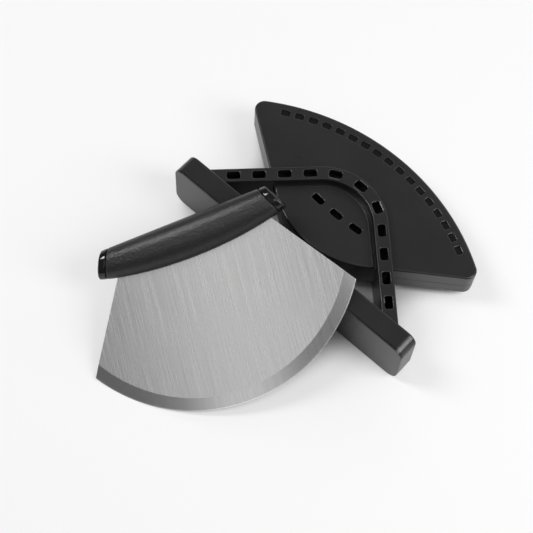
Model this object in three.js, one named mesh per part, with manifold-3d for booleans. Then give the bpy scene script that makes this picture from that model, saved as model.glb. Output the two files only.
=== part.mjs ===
// Rocking pizza cutter with its holder, in millimetres, +Z up, at rest on a table.
// The holder lies on its back and the cutter leans on the holder's foot, edge on the table.
import * as THREE from 'three';
import { mergeVertices } from 'three/addons/utils/BufferGeometryUtils.js';
import Module from 'manifold-3d';

const wasm = await Module();
wasm.setup();

// Fits and facets
const fit = 0.3;
const facet = 0.08;
const reach = 400;

// Holder foot: a shallow box closed from below by a cover
const footLength = 189.6;
const footRise = 14;
const footDepth = 40;
const footCorner = 7;
const footWall = 2.5;
const footRound = 1.2;
const coverThick = 1;
const coverRound = 0.4;
const coverRibThick = 1.6;
const coverRibHeight = 3;

// Holder arch: a hollow strip bent over the foot, made in two halves
const archRise = 58.1;
const archRadius = 36.7;
const archLegAngle = THREE.MathUtils.degToRad(45);
const archWidth = 9.6;
const archSetback = 3.25;
const archWall = 1.8;
const archSkin = 2.5;
const archRound = 0.7;
const archLegFloor = 4;
const archSlotPairs = 5;
const archSlotFirst = 18.3;
const archSlotPitch = 16.5;
const archSlotLength = 8.8;
const archSlotWidth = 5.4;
const archSlotCorner = 1.6;

// Holder fan: a slice-shaped pocket of two half shells, open along its outer rim
const fanProud = 5.75;
const fanTipGap = 6.7;
const fanTipRadius = 64.6;
const fanHeight = 87.5;
const fanRimRadius = 159.8;
const fanSideAngle = THREE.MathUtils.degToRad(35.65);
const fanCorner = 6.5;
const fanRoundFront = 0.9;
const fanRoundBack = 1.8;
const shellWall = 2.5;
const mouthGap = 5.2;
const seatDepth = 1.2;
const seatChannel = 1.7;
const ventRise = 27.8;
const ventPitch = 15.75;
const ventBow = 212;
const ventLength = 9;
const ventWidth = 4.7;
const ventCorner = 1.6;
const ventPairs = 1;
const rimMarkInset = 7;
const rimMarkPitch = 9.6;
const rimMarkPairs = 8;
const rimMarkLength = 6;
const rimMarkWidth = 4.2;
const rimMarkCorner = 1;
const rimMarkDepth = 1;

// Screws that hold the arch legs down, hidden in the foot
const screwShank = 1.4;
const screwHead = 3;
const screwHeadHeight = 1.8;
const screwBite = 3.2;
const screwSpread = 8;

// Cutter blade: a steel fan ground to an edge along its arc
const bladeRadius = 105.7;
const bladeCornerDrop = 58.5;
const bladeThick = 1.5;
const bladeEdgeThick = 0.3;
const bladeBevel = 8.2;
const bladeShoulderDrop = 4.6;
const bladeShoulderHalf = 52.4;
const tangRise = 8;

// Cutter grip: a bowed bar with slanted ends, a sleeve over a core in two halves
const gripTop = 15.4;
const gripBellyDrop = 9.5;
const gripBellyRadius = 225;
const gripHalfTop = 56.2;
const gripEndSlant = Math.tan(THREE.MathUtils.degToRad(24.5));
const gripThickMiddle = 22.5;
const gripThickEnd = 16;
const gripSquareness = 2.4;
const sleeveThick = 2;
const sleeveRound = 0.6;
const capLength = 5.4;
const capPlug = 4;
const capRound = 1.3;
const capGroove = 0.9;
const capDish = 1.4;
const capDishRim = 1.6;
const pinRadius = 2.4;
const pinSpread = 30;
const pinRise = 2.5;
const gripSides = 24;
const sleeveStations = 18;
const coreStations = 8;

// How the cutter lies: where its grip crosses the foot, and how far it is turned
const leanSpot = -37.4;
const leanGrip = 35.2;
const leanTurn = THREE.MathUtils.degToRad(62.4);
const leanGap = 0.35;

// Derived heights and depths of the holder
const footTop = coverThick + footRise;
const archHalf = footDepth / 2 - archSetback;
const fanHalf = archHalf - fanProud;
const archApex = footTop + archRise;
const fanTip = footTop + fanTipGap;
const fanTop = fanTip + fanHeight;

const plastic = new THREE.MeshStandardMaterial({ color: 0x1d1e20, roughness: 0.55, metalness: 0 });
const gloss = new THREE.MeshStandardMaterial({ color: 0x0b0b0c, roughness: 0.18, metalness: 0 });
const grain = new THREE.MeshStandardMaterial({ color: 0x19191b, roughness: 0.6, metalness: 0 });
const steel = new THREE.MeshStandardMaterial({ color: 0xb4b6b8, roughness: 0.34, metalness: 1 });

// Geometry to solid and back
function solid(geometry) {
  const bare = geometry.clone();
  bare.deleteAttribute('normal');
  bare.deleteAttribute('uv');
  const merged = mergeVertices(bare, 1e-4);
  const vertProperties = new Float32Array(merged.attributes.position.array);
  const triVerts = new Uint32Array(merged.index.array);
  return new wasm.Manifold(new wasm.Mesh({ numProp: 3, vertProperties, triVerts }));
}

function piece(name, body, material) {
  const { vertProperties, triVerts } = body.getMesh();
  const geometry = new THREE.BufferGeometry();
  geometry.setAttribute('position', new THREE.BufferAttribute(vertProperties, 3));
  geometry.setIndex(new THREE.BufferAttribute(triVerts, 1));
  geometry.computeVertexNormals();
  const mesh = new THREE.Mesh(geometry, material);
  mesh.name = name;
  return mesh;
}

// A flat outline pushed from one level to another, with rounded rims if asked
function prism(points, from, to, round = 0) {
  const geometry = new THREE.ExtrudeGeometry(new THREE.Shape(points), {
    depth: to - from - 2 * round,
    bevelEnabled: round > 0,
    bevelThickness: round,
    bevelSize: round,
    bevelOffset: -round,
    bevelSegments: 3,
  });
  geometry.translate(0, 0, from + round);
  return solid(geometry);
}

function block(from, to) {
  const size = to.clone().sub(from);
  const geometry = new THREE.BoxGeometry(size.x, size.y, size.z);
  geometry.translate(from.x + size.x / 2, from.y + size.y / 2, from.z + size.z / 2);
  return solid(geometry);
}

// Points of an arc, as many as its radius needs
function arc(x, y, radius, from, to) {
  const step = 2 * Math.acos(1 - facet / radius);
  const count = Math.max(2, Math.ceil(Math.abs(to - from) / step));
  const points = [];
  for (let i = 0; i <= count; i += 1) {
    const angle = from + ((to - from) * i) / count;
    points.push(new THREE.Vector2(x + radius * Math.cos(angle), y + radius * Math.sin(angle)));
  }
  return points;
}

function roundedBar(length, width, corner) {
  const x = length / 2 - corner;
  const y = width / 2 - corner;
  return [
    ...arc(x, y, corner, 0, Math.PI / 2),
    ...arc(-x, y, corner, Math.PI / 2, Math.PI),
    ...arc(-x, -y, corner, Math.PI, 1.5 * Math.PI),
    ...arc(x, -y, corner, 1.5 * Math.PI, 2 * Math.PI),
  ];
}

function placed(points, x, y, turn) {
  const origin = new THREE.Vector2(0, 0);
  const shift = new THREE.Vector2(x, y);
  return points.map((point) => point.clone().rotateAround(origin, turn).add(shift));
}

// Fan outline pulled in by an inset: round tip, straight sides, round corners, bowed rim
function fanOutline(inset) {
  const tipY = fanTip + fanTipRadius;
  const rimY = fanTop - fanRimRadius;
  const rim = fanRimRadius - inset;
  const corner = Math.max(fanCorner - inset, facet * 2);
  const side = new THREE.Vector2(Math.cos(fanSideAngle), Math.sin(fanSideAngle));
  const out = new THREE.Vector2(side.y, -side.x);
  // corner centre: as far from the side as from the rim
  const start = new THREE.Vector2(0, tipY).addScaledVector(out, fanTipRadius - fanCorner);
  const toRim = start.clone().sub(new THREE.Vector2(0, rimY));
  const along = toRim.dot(side);
  const span = (fanRimRadius - fanCorner) ** 2 - toRim.lengthSq() + along * along;
  const centre = start.addScaledVector(side, Math.sqrt(span) - along);
  const rimAngle = Math.atan2(centre.y - rimY, centre.x);
  const half = [
    ...arc(0, tipY, fanTipRadius - inset, -Math.PI / 2, fanSideAngle - Math.PI / 2),
    ...arc(centre.x, centre.y, corner, fanSideAngle - Math.PI / 2, rimAngle),
    ...arc(0, rimY, rim, rimAngle, Math.PI / 2),
  ];
  return mirrored(half);
}

// Closes a right half that starts and ends on the middle line
function mirrored(half) {
  const left = half.slice(1, -1).map((point) => new THREE.Vector2(-point.x, point.y));
  return [...half, ...left.reverse()];
}

// The pocket's outline run out past the rim, for the mouth
function mouthOutline() {
  const half = fanOutline(shellWall).filter((point) => point.x > facet);
  const widest = Math.max(...half.map((point) => point.x));
  const below = half.filter((point) => point.y < fanTop - fanHeight / 2);
  const shoulder = half.find((point) => point.x > widest - facet);
  return mirrored([
    new THREE.Vector2(0, fanTip + shellWall),
    ...below,
    shoulder,
    new THREE.Vector2(widest, fanTop + fanCorner),
    new THREE.Vector2(0, fanTop + fanCorner),
  ]);
}

// Bent strip between two offsets from the arch's middle line, down to a level
function archBand(outward, inward, bottom) {
  const y = archApex - archRadius;
  const edge = (radius) => {
    const points = arc(0, y, radius, Math.PI / 2 - archLegAngle, Math.PI / 2);
    const start = points[0];
    const run = (start.y - bottom) / Math.tan(archLegAngle);
    return [new THREE.Vector2(start.x + run, bottom), ...points];
  };
  const outer = edge(archRadius + outward);
  const inner = edge(archRadius - inward);
  const flip = (points) => points.map((point) => new THREE.Vector2(-point.x, point.y));
  const rightOuter = outer;
  const leftOuter = flip(outer.slice(0, -1)).reverse();
  const leftInner = flip(inner.slice(0, -1));
  const rightInner = inner.slice().reverse();
  return [...rightOuter, ...leftOuter, ...leftInner, ...rightInner];
}

// Place and direction at a distance along the arch from its apex
function archAt(distance) {
  const bend = archRadius * archLegAngle;
  const angle = Math.min(Math.abs(distance), bend) / archRadius;
  const run = Math.max(Math.abs(distance) - bend, 0);
  const x = archRadius * Math.sin(angle) + run * Math.cos(archLegAngle);
  const y = archApex - archRadius * (1 - Math.cos(angle)) - run * Math.sin(archLegAngle);
  const sign = Math.sign(distance);
  return { x: sign * x, y, turn: -sign * angle };
}

// Half of a holder piece on one side of the parting plane
function frontHalf(body) {
  const corner = new THREE.Vector3(reach, reach, reach);
  return body.intersect(block(new THREE.Vector3(-reach, -reach, fit / 2), corner));
}

// Pocket half: thin shell with a lipped mouth, a seat for the arch and a row of vents
function fanShell(round) {
  let shell = frontHalf(prism(fanOutline(0), -fanHalf, fanHalf, round));
  shell = shell.subtract(prism(fanOutline(shellWall), -fit, fanHalf - shellWall));
  shell = shell.subtract(prism(mouthOutline(), -fit, mouthGap / 2));
  const seat = archBand(archWidth / 2 + fit, archWidth / 2 + seatChannel, footTop);
  shell = shell.subtract(prism(seat, fanHalf - seatDepth, fanHalf + fit));
  for (let i = -ventPairs; i <= ventPairs; i += 1) {
    const angle = (i * ventPitch) / ventBow;
    const y = fanTip + ventRise + ventBow * (1 - Math.cos(angle));
    const vent = placed(roundedBar(ventLength, ventWidth, ventCorner), ventBow * Math.sin(angle), y, angle);
    shell = shell.subtract(prism(vent, fanHalf - shellWall - fit, fanHalf + fit));
  }
  return shell;
}

// The front half also has a row of shallow grip marks that follows the rim
function rimMarks(shell) {
  const radius = fanRimRadius - rimMarkInset;
  let cut = shell;
  for (let i = -rimMarkPairs; i <= rimMarkPairs; i += 1) {
    const angle = (i * rimMarkPitch) / radius;
    const x = radius * Math.sin(angle);
    const y = fanTop - fanRimRadius + radius * Math.cos(angle);
    const mark = placed(roundedBar(rimMarkLength, rimMarkWidth, rimMarkCorner), x, y, -angle);
    cut = cut.subtract(prism(mark, fanHalf - rimMarkDepth, fanHalf + fit));
  }
  return cut;
}

// Arch half: a channel with slots, cut away where the fan passes through it
function archHalfStrip() {
  const foot = footTop + fit;
  const half = archWidth / 2;
  let strip = frontHalf(prism(archBand(half, half, foot), -archHalf, archHalf, archRound));
  const hollow = archBand(half - archWall, half - archWall, foot + archLegFloor);
  strip = strip.subtract(prism(hollow, -fit, archHalf - archSkin));
  strip = strip.subtract(prism(fanOutline(-fit), -fit, fanHalf - seatDepth + fit));
  for (let i = -archSlotPairs; i <= archSlotPairs; i += 1) {
    const steps = Math.max(Math.abs(i) - 1, 0);
    const { x, y, turn } = archAt(Math.sign(i) * (archSlotFirst + steps * archSlotPitch));
    const slot = placed(roundedBar(archSlotLength, archSlotWidth, archSlotCorner), x, y, turn);
    strip = strip.subtract(prism(slot, archHalf - archSkin - fit, archHalf + fit));
  }
  for (const side of [-1, 1]) {
    strip = strip.subtract(screwHole(side * screwAcross(), screwSpread));
  }
  return strip;
}

// The leg screws stand upright in the middle of each leg's end
function screwAcross() {
  const bend = archAt(archRadius * archLegAngle);
  const level = footTop + fit + archLegFloor / 2;
  return bend.x + (bend.y - level) / Math.tan(archLegAngle);
}

function screwHole(x, z) {
  const bore = new THREE.CylinderGeometry(screwShank + fit, screwShank + fit, 2 * (screwBite + fit) + footWall, 12);
  bore.translate(x, footTop - footWall / 2 + fit / 2, z);
  return solid(bore);
}

function legScrew(x, z) {
  const seat = footTop - footWall - fit;
  const profile = [
    new THREE.Vector2(0, seat - screwHeadHeight),
    new THREE.Vector2(screwHead - 0.4, seat - screwHeadHeight),
    new THREE.Vector2(screwHead, seat - screwHeadHeight + 0.4),
    new THREE.Vector2(screwHead, seat),
    new THREE.Vector2(screwShank, seat),
    new THREE.Vector2(screwShank, footTop + screwBite - screwShank),
    new THREE.Vector2(0, footTop + screwBite),
  ];
  const lathe = new THREE.LatheGeometry(profile, 12);
  lathe.translate(x, 0, z);
  return solid(lathe);
}

// A bar outline in the foot's plan, stood up along the holder's height
function upright(points, from, to, round = 0) {
  return prism(points, from, to, round).rotate([-90, 0, 0]);
}

function footBody() {
  const plan = roundedBar(footLength, footDepth, footCorner);
  const inner = roundedBar(footLength - 2 * footWall, footDepth - 2 * footWall, footCorner - footWall);
  const corner = new THREE.Vector3(reach, reach, reach);
  const above = block(new THREE.Vector3(-reach, coverThick + fit, -reach), corner);
  let body = upright(plan, coverThick - footRound, footTop, footRound).intersect(above);
  body = body.subtract(upright(inner, 0, footTop - footWall));
  for (const side of [-1, 1]) {
    for (const face of [-1, 1]) {
      body = body.subtract(screwHole(side * screwAcross(), face * screwSpread));
    }
  }
  return body;
}

// Cover: a plate rounded all along its outer rim, with a rib that locates it in the foot
function footCover() {
  const plan = roundedBar(footLength, footDepth, footCorner);
  const under = block(new THREE.Vector3(-reach, -reach, -reach), new THREE.Vector3(reach, coverThick, reach));
  const plate = upright(plan, 0, coverThick + coverRound, coverRound).intersect(under);
  const gap = footWall + fit;
  const rib = roundedBar(footLength - 2 * gap, footDepth - 2 * gap, footCorner - gap);
  const back = gap + coverRibThick;
  const open = roundedBar(footLength - 2 * back, footDepth - 2 * back, footCorner - gap);
  const top = coverThick + coverRibHeight;
  const ring = upright(rib, coverThick / 2, top).subtract(upright(open, 0, top + fit));
  return plate.add(ring.subtract(under)).add(ring.intersect(under));
}

// Half width of the blade at a level, along its straight sides
function bladeHalf(y) {
  const cornerHalf = Math.sqrt(bladeRadius ** 2 - bladeCornerDrop ** 2);
  const slope = (cornerHalf - bladeShoulderHalf) / (bladeCornerDrop - bladeShoulderDrop);
  return bladeShoulderHalf + slope * (-bladeShoulderDrop - y);
}

function bladeOutline(gap) {
  const low = -bladeRadius - gap;
  const high = tangRise + gap;
  return mirrored([
    new THREE.Vector2(0, low),
    new THREE.Vector2(bladeHalf(low) + gap, low),
    new THREE.Vector2(bladeHalf(high) + gap, high),
    new THREE.Vector2(0, high),
  ]);
}

// Blade: a disc with a ground rim, trimmed to its sides and tang
function blade() {
  const flat = bladeThick / 2;
  const edge = bladeEdgeThick / 2;
  const profile = [
    new THREE.Vector2(0, -flat),
    new THREE.Vector2(bladeRadius - bladeBevel, -flat),
    new THREE.Vector2(bladeRadius, -edge),
    new THREE.Vector2(bladeRadius, edge),
    new THREE.Vector2(bladeRadius - bladeBevel, flat),
    new THREE.Vector2(0, flat),
  ];
  const disc = solid(new THREE.LatheGeometry(profile, 144)).rotate([90, 0, 0]);
  let body = disc.intersect(prism(bladeOutline(0), -bladeThick, bladeThick));
  for (const side of [-1, 1]) {
    body = body.subtract(pin(side * pinSpread, pinRadius + fit, bladeThick * 2));
  }
  return body;
}

function pin(x, radius, length) {
  const geometry = new THREE.CylinderGeometry(radius, radius, length, 24);
  geometry.rotateX(Math.PI / 2);
  geometry.translate(x, pinRise, 0);
  return solid(geometry);
}

// Grip section at a station from -1 to 1, pulled in by an inset
function gripHalfLength() {
  const belly = gripBelly(gripHalfTop);
  return gripHalfTop + (gripEndSlant * (gripTop - belly)) / 2;
}

function gripBelly(x) {
  return -gripBellyDrop + gripBellyRadius - Math.sqrt(gripBellyRadius ** 2 - x * x);
}

function gripHalfThick(station) {
  return (gripThickEnd + (gripThickMiddle - gripThickEnd) * (1 - station * station)) / 2;
}

function gripMiddle(station) {
  return (gripTop + gripBelly(station * gripHalfLength())) / 2;
}

function gripRing(station, inset) {
  const middle = gripMiddle(station);
  const high = gripTop - middle - inset;
  const thick = gripHalfThick(station) - inset;
  const power = 2 / gripSquareness;
  const ring = [];
  for (let i = 0; i < gripSides; i += 1) {
    const angle = (2 * Math.PI * i) / gripSides;
    const c = Math.cos(angle);
    const s = Math.sin(angle);
    const y = middle + high * Math.sign(s) * Math.abs(s) ** power;
    const z = thick * Math.sign(c) * Math.abs(c) ** power;
    const x = station * (gripHalfTop + gripEndSlant * (gripTop - y));
    ring.push(new THREE.Vector3(x, y, z));
  }
  return ring;
}

// Skin over rings of equal count, closed at its ends or round in a loop
function loft(rings, looped) {
  const sides = rings[0].length;
  const points = rings.flat();
  const faces = [];
  const count = looped ? rings.length : rings.length - 1;
  for (let i = 0; i < count; i += 1) {
    const a = i * sides;
    const b = ((i + 1) % rings.length) * sides;
    for (let j = 0; j < sides; j += 1) {
      const k = (j + 1) % sides;
      faces.push(a + j, b + j, b + k, a + j, b + k, a + k);
    }
  }
  if (!looped) {
    const last = (rings.length - 1) * sides;
    const first = middleOf(rings[0]);
    const end = middleOf(rings[rings.length - 1]);
    points.push(first, end);
    for (let j = 0; j < sides; j += 1) {
      const k = (j + 1) % sides;
      faces.push(points.length - 2, j, k, points.length - 1, last + k, last + j);
    }
  }
  const geometry = new THREE.BufferGeometry().setFromPoints(points);
  geometry.setIndex(faces);
  return solid(geometry);
}

function middleOf(ring) {
  return ring.reduce((sum, point) => sum.add(point), new THREE.Vector3()).divideScalar(ring.length);
}

// Station at a distance in from the grip's end
function stationFrom(distance) {
  return 1 - distance / gripHalfLength();
}

function evenRings(half, inset, stations) {
  const rings = [];
  for (let i = 0; i <= stations; i += 1) {
    rings.push(gripRing(half * ((2 * i) / stations - 1), inset));
  }
  return rings;
}

function gripSleeve() {
  const end = stationFrom(capLength + fit);
  const shoulder = stationFrom(capLength + fit + sleeveRound);
  const outer = [gripRing(-end, sleeveRound), ...evenRings(shoulder, 0, sleeveStations), gripRing(end, sleeveRound)];
  const inner = evenRings(end, sleeveThick, coreStations).reverse();
  const sleeve = loft([...outer, ...inner], true);
  return sleeve.subtract(prism(bladeOutline(fit), -bladeThick / 2 - fit, bladeThick / 2 + fit));
}

function gripCore() {
  const end = stationFrom(capLength + capPlug + fit);
  let core = loft(evenRings(end, sleeveThick + fit, coreStations), false);
  for (const side of [-1, 1]) {
    core = core.subtract(pin(side * pinSpread, pinRadius + fit, gripThickMiddle));
  }
  const face = bladeThick / 2 + fit;
  const front = block(new THREE.Vector3(-reach, -reach, face), new THREE.Vector3(reach, reach, reach));
  return core.intersect(front);
}

// End cap: a plug in the sleeve, a shadow groove, a rounded rim and a dished end
function endCap() {
  const plug = sleeveThick + fit;
  const profile = [
    [capLength + capPlug, plug + capGroove],
    [capLength + capPlug - capGroove, plug],
    [capLength, plug],
    [capLength, capGroove],
    [capLength - capGroove, 0],
    [capRound, 0],
    [capRound * 0.3, capRound * 0.3],
    [0, capRound],
    [capDish * 0.35, capRound + capDishRim],
    [capDish, capRound + 2 * capDishRim],
  ];
  return loft(profile.map(([distance, inset]) => gripRing(stationFrom(distance), inset)), false);
}

function tangPin() {
  const station = pinSpread / gripHalfLength();
  const length = 2 * (gripHalfThick(station) - sleeveThick - 3 * fit);
  return pin(pinSpread, pinRadius, length);
}

// The holder's tilt on its back: foot edge and arch apex both on the table
function holderTilt() {
  return Math.atan2(archSetback, archApex + archWidth / 2 - footTop);
}

// The cutter's lean: grip and blade rim on the foot's rounded ridge, arc on the table
function cutterLean(ridgeHeight) {
  const crossing = new THREE.Vector2(leanGrip, gripMiddle(leanGrip / gripHalfLength()));
  const along = new THREE.Vector2(Math.cos(leanTurn), -Math.sin(leanTurn));
  const down = new THREE.Vector2(-Math.sin(leanTurn), -Math.cos(leanTurn));
  const toCentre = crossing.clone().negate();
  const centreAlong = toCentre.dot(along);
  const centreDown = toCentre.dot(down);
  const rimAlong = centreAlong + Math.sqrt(bladeRadius ** 2 - centreDown ** 2);
  const edge = bladeEdgeThick / 2;
  const bladeOff = edge + coverRound + leanGap;
  let lean = 0.4;
  let roll = 0;
  let height = 0;
  for (let i = 0; i < 80; i += 1) {
    const upright = Math.cos(lean) * Math.cos(roll);
    const shift = (gripThickMiddle / 2 + coverRound) * Math.tan(lean);
    const station = (leanGrip - shift / Math.sin(leanTurn)) / gripHalfLength();
    const gripOff = gripHalfThick(station) + coverRound + leanGap;
    const gripAlong = -shift / Math.tan(leanTurn);
    roll = Math.asin((gripOff - bladeOff) / (upright * (rimAlong - gripAlong)));
    height = ridgeHeight + rimAlong * Math.sin(roll) + bladeOff / upright;
    const fall = Math.sin(lean) * Math.cos(roll);
    const drop = bladeRadius * Math.hypot(Math.sin(roll), fall) + edge * upright;
    const above = height - centreAlong * Math.sin(roll) - centreDown * fall - drop;
    lean = Math.asin(Math.sin(lean) + above / ((centreDown + bladeRadius) * Math.cos(roll)));
  }
  return { lean, roll, height, crossing };
}

// Holder, in its own frame: X along the foot, Y up its height, Z through its thickness
const holder = new THREE.Group();
const fanBack = fanShell(fanRoundBack).mirror([0, 0, 1]);
const archFront = archHalfStrip();
holder.add(piece('fan_front', rimMarks(fanShell(fanRoundFront)), plastic));
holder.add(piece('fan_back', fanBack, plastic));
holder.add(piece('arch_front', archFront, plastic));
holder.add(piece('arch_back', archFront.mirror([0, 0, 1]), plastic));
holder.add(piece('foot_body', footBody(), plastic));
holder.add(piece('foot_cover', footCover(), plastic));
for (const [face, z] of [['front', screwSpread], ['back', -screwSpread]]) {
  holder.add(piece(`leg_screw_${face}_left`, legScrew(-screwAcross(), z), steel));
  holder.add(piece(`leg_screw_${face}_right`, legScrew(screwAcross(), z), steel));
}
const tilt = holderTilt();
holder.rotation.x = -tilt;
holder.position.z = footTop * Math.sin(tilt) + (footDepth / 2) * Math.cos(tilt);

// Cutter, in its own frame: X along the grip, Y up the blade, Z out of its face
const cutter = new THREE.Group();
const coreFront = gripCore();
const capRight = endCap();
const pinRight = tangPin();
cutter.add(piece('blade', blade(), steel));
cutter.add(piece('grip_core_front', coreFront, plastic));
cutter.add(piece('grip_core_back', coreFront.mirror([0, 0, 1]), plastic));
cutter.add(piece('grip_sleeve', gripSleeve(), grain));
cutter.add(piece('end_cap_right', capRight, gloss));
cutter.add(piece('end_cap_left', capRight.mirror([1, 0, 0]), gloss));
cutter.add(piece('tang_pin_right', pinRight, steel));
cutter.add(piece('tang_pin_left', pinRight.mirror([1, 0, 0]), steel));

// The foot's ridge, in the holder's frame, then on the table
const ridge = new THREE.Vector3(leanSpot, coverRound, footDepth / 2 - coverRound);
holder.updateMatrixWorld();
ridge.applyMatrix4(holder.matrixWorld);
const { lean, roll, height, crossing } = cutterLean(ridge.z);
cutter.position.set(-crossing.x, -crossing.y, 0);
const turned = new THREE.Group();
turned.rotation.z = leanTurn;
turned.add(cutter);
const leaning = new THREE.Group();
leaning.rotation.x = lean;
leaning.add(turned);
const rolled = new THREE.Group();
rolled.rotation.y = roll;
rolled.position.set(ridge.x, ridge.y, height);
rolled.add(leaning);

// The whole product, centred over its footprint
const part = new THREE.Group();
part.add(holder, rolled);
const bounds = new THREE.Box3().setFromObject(part, true);
const middle = bounds.getCenter(new THREE.Vector3());
part.position.set(-middle.x, -middle.y, 0);

export default part;
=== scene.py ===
import math

import bmesh
import bpy
from mathutils import Matrix, Quaternion, Vector


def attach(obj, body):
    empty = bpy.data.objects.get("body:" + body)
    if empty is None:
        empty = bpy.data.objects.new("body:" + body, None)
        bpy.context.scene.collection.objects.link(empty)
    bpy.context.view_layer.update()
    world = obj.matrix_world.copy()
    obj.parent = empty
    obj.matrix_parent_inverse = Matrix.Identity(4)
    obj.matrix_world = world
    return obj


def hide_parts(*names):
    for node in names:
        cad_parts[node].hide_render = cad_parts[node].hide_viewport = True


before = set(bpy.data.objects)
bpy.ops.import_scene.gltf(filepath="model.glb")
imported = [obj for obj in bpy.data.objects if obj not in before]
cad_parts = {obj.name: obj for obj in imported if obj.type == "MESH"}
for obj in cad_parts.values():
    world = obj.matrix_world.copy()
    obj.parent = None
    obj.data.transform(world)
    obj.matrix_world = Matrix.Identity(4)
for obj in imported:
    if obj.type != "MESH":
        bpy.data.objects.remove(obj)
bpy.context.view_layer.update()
mm = 0.001


# Camera: a short telephoto lens looks down on the table from the cutter's side, three
# quarters of the way to straight overhead. Its focal length is in pixels of the picture.
camera_aim = Vector((-16.87, 10.883, 0.0)) * mm
camera_distance = 901.2 * mm
camera_turn = math.radians(42.10)
camera_rise = math.radians(67.52)
camera_focal = 1381.2
picture_width = 533
sensor_width = 36
camera_sight = Vector((
    -math.sin(camera_turn) * math.cos(camera_rise),
    math.cos(camera_turn) * math.cos(camera_rise),
    -math.sin(camera_rise),
))
bpy.ops.object.select_all(action="DESELECT")
bpy.ops.object.camera_add(
    location=camera_aim - camera_sight * camera_distance,
    rotation=(math.pi / 2 - camera_rise, 0, camera_turn),
)
camera = bpy.context.object
camera.name = "camera"
camera.data.sensor_width = sensor_width
camera.data.lens = sensor_width * camera_focal / picture_width
camera.data.clip_start = 0.05
camera.data.clip_end = 20
bpy.context.scene.camera = camera
bpy.context.scene.view_settings.view_transform = "Standard"


# Table: one wide sheet of pale paper under soft light, near white to the lens and in
# reflections, and plain paper to all other light. The white glow carries painted shade, darker
# where something close by hides the open sky, and in reflections a painted pool of light in the
# middle that fades into the room beyond.
table_side = 16
glow_share = 0.5


def linear(hex_colour):
    """An sRGB hex colour as linear red, green, blue and alpha."""
    parts = [int(hex_colour[i:i + 2], 16) / 255 for i in (1, 3, 5)]
    return [p / 12.92 if p <= 0.04045 else ((p + 0.055) / 1.055) ** 2.4 for p in parts] + [1]


def add(tree, kind, inputs=(), **settings):
    """One shader node with its settings; an input takes a value, or the socket that feeds it."""
    made = tree.nodes.new(kind)
    for name, value in settings.items():
        setattr(made, name, value)
    for name, value in dict(inputs).items():
        if isinstance(value, bpy.types.NodeSocket):
            tree.links.new(value, made.inputs[name])
        else:
            made.inputs[name].default_value = value
    return made


def seen_rays(tree, ray):
    """A socket that is 1 to the lens, in reflections and through glass, and 0 to other light."""
    mirrored = add(tree, "ShaderNodeMath", {
        0: ray.outputs["Is Glossy Ray"], 1: ray.outputs["Is Transmission Ray"]}, operation="ADD")
    seen = add(tree, "ShaderNodeMath", {
        0: ray.outputs["Is Camera Ray"], 1: mirrored.outputs[0]}, operation="ADD")
    return seen.outputs[0]


paper = bpy.data.materials.new("pale_paper")
paper.use_nodes = True
tree = paper.node_tree
tree.nodes.clear()
ray = add(tree, "ShaderNodeLightPath")
share = add(tree, "ShaderNodeMath", {0: seen_rays(tree, ray), 1: glow_share}, operation="MULTIPLY")
place = add(tree, "ShaderNodeTexCoord")
away = add(tree, "ShaderNodeVectorMath", {0: place.outputs["Object"]}, operation="LENGTH")
# Painted pool of light: in reflections the glow fades from the middle outwards.
fade = add(tree, "ShaderNodeMapRange", {
    "Value": away.outputs["Value"],
    "From Min": 0.3, "From Max": 1.0, "To Min": 1.0, "To Max": 0.15})
near = add(tree, "ShaderNodeMath", {
    0: ray.outputs["Is Camera Ray"], 1: fade.outputs["Result"]}, operation="MAXIMUM")
# Painted shade: the glow darkens where ambient occlusion finds something close by.
open_sky = add(tree, "ShaderNodeAmbientOcclusion", {"Distance": 0.1}, samples=24)
painted_shade = add(tree, "ShaderNodeMapRange", {
    "Value": open_sky.outputs["AO"], "From Min": 0.24, "From Max": 0.52},
    interpolation_type="SMOOTHSTEP")
bright = add(tree, "ShaderNodeMath", {
    0: near.outputs[0], 1: painted_shade.outputs["Result"]}, operation="MULTIPLY")
sheet = add(tree, "ShaderNodeBsdfDiffuse", {"Color": linear("#eeeeee")})
glow = add(tree, "ShaderNodeEmission", {
    "Color": linear("#fafafa"), "Strength": bright.outputs[0]})
both = add(tree, "ShaderNodeMixShader", {
    0: share.outputs[0], 1: sheet.outputs[0], 2: glow.outputs[0]})
add(tree, "ShaderNodeOutputMaterial", {"Surface": both.outputs[0]})

bpy.ops.object.select_all(action="DESELECT")
bpy.ops.mesh.primitive_plane_add(size=table_side)
table = bpy.context.object
table.name = "table"
table.data.materials.append(paper)


# Studio light: a dim room, lighter overhead and along the horizon as pale as the table to
# the lens and in reflections, with a strip light in front for the steel, soft boxes left,
# right and behind for the highlights on rounded edges, and a small fill beside the lens.
world = bpy.data.worlds.new("studio_room")
world.use_nodes = True
bpy.context.scene.world = world
tree = world.node_tree
ray = add(tree, "ShaderNodeLightPath")
place = add(tree, "ShaderNodeTexCoord")
axes = add(tree, "ShaderNodeSeparateXYZ", {"Vector": place.outputs["Generated"]})
room = add(tree, "ShaderNodeMapRange", {
    "Value": axes.outputs["Z"],
    "From Min": 0.0, "From Max": 1.0, "To Min": 0.10, "To Max": 0.22})
low = add(tree, "ShaderNodeMapRange", {
    "Value": axes.outputs["Z"],
    "From Min": 0.1, "From Max": 0.2, "To Min": 1.0, "To Max": 0.0})
band = add(tree, "ShaderNodeMath", {
    0: seen_rays(tree, ray), 1: low.outputs["Result"]}, operation="MULTIPLY")
level = add(tree, "ShaderNodeMath", {
    0: band.outputs[0], 1: room.outputs["Result"]}, operation="MAXIMUM")
tree.links.new(level.outputs[0], tree.nodes["Background"].inputs["Strength"])
tree.nodes["Background"].inputs["Color"].default_value = linear("#fbfbfb")
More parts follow.
